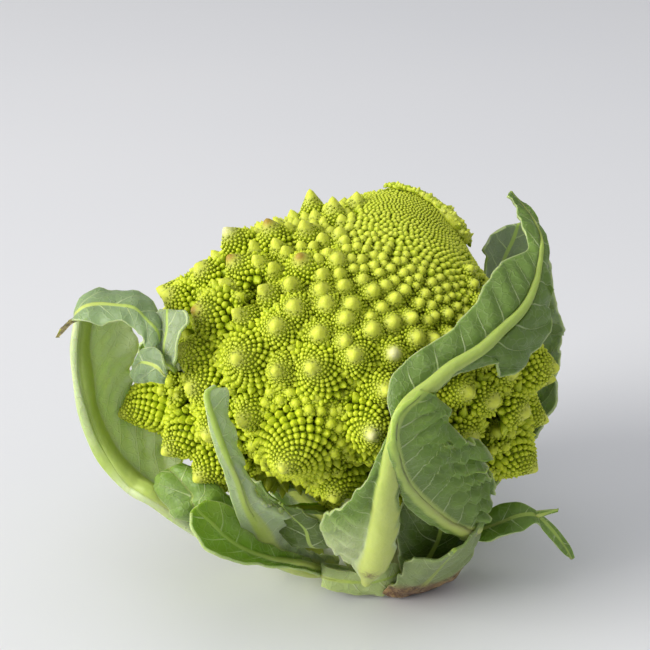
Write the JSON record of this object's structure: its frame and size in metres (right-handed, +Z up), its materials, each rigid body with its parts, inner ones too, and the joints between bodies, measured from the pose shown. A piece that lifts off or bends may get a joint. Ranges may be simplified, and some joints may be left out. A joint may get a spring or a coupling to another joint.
{
  "type": "romanesco head",
  "caption": "Cut romanesco head: a dome of spiralling pointed florets with wrapper leaves, resting on its cut stem.",
  "frame": {"origin": "centre of the stem's cut face, which rests on the surface", "axes": "+Z up, -Y towards the front, where the long leaf stalk crosses the florets; +X to the right, where the growing tip leans"},
  "size_m": [0.1974, 0.1824, 0.1504],
  "materials": {
    "crown_curd": "soft matte curd skin, pale yellow-green, finely beaded",
    "floret_curd": "soft matte curd skin, yellow-green, darker between the buds",
    "stem_flesh": "pale green flesh with a dry cut face",
    "leaf_blue_green": "waxy blue-green leaf with pale veins",
    "leaf_fresh_green": "fresh green leaf, slightly glossy, pale veins",
    "leaf_pale": "pale leaf underside and leaf stalk",
    "leaf_dark_green": "dark green leaf"
  },
  "bodies": {
    "root": {"crown": "crown_curd", "floret_01": "floret_curd", "floret_02": "floret_curd", "floret_03": "floret_curd", "floret_04": "floret_curd", "floret_05": "floret_curd", "floret_06": "floret_curd", "floret_07": "floret_curd", "floret_08": "floret_curd", "floret_09": "floret_curd", "floret_10": "floret_curd", "floret_11": "floret_curd", "floret_12": "floret_curd", "floret_13": "floret_curd", "floret_14": "floret_curd", "floret_15": "floret_curd", "floret_16": "floret_curd", "floret_17": "floret_curd", "floret_18": "floret_curd", "floret_19": "floret_curd", "floret_20": "floret_curd", "floret_21": "floret_curd", "floret_22": "floret_curd", "floret_23": "floret_curd", "floret_24": "floret_curd", "floret_25": "floret_curd", "floret_26": "floret_curd", "floret_27": "floret_curd", "floret_28": "floret_curd", "floret_29": "floret_curd", "floret_30": "floret_curd", "floret_31": "floret_curd", "floret_32": "floret_curd", "floret_33": "floret_curd", "floret_34": "floret_curd", "floret_35": "floret_curd", "floret_36": "floret_curd", "floret_37": "floret_curd", "floret_38": "floret_curd", "floret_39": "floret_curd", "floret_40": "floret_curd", "floret_41": "floret_curd", "floret_42": "floret_curd", "leaf_back_left": "leaf_blue_green", "leaf_back_right": "leaf_blue_green", "leaf_crest_back": "leaf_dark_green", "leaf_front": "leaf_blue_green", "leaf_front_left": "leaf_blue_green", "leaf_inner": "leaf_pale", "leaf_left": "leaf_blue_green", "leaf_left_back": "leaf_blue_green", "leaf_low_left": "leaf_fresh_green", "leaf_low_pale": "leaf_pale", "leaf_right_back": "leaf_blue_green", "leaf_right_fold": "leaf_fresh_green", "leaf_right_low": "leaf_fresh_green", "leaf_rolled": "leaf_fresh_green", "leaf_trimmed": "leaf_dark_green", "stem": "stem_flesh"}
  },
  "joints": []
}
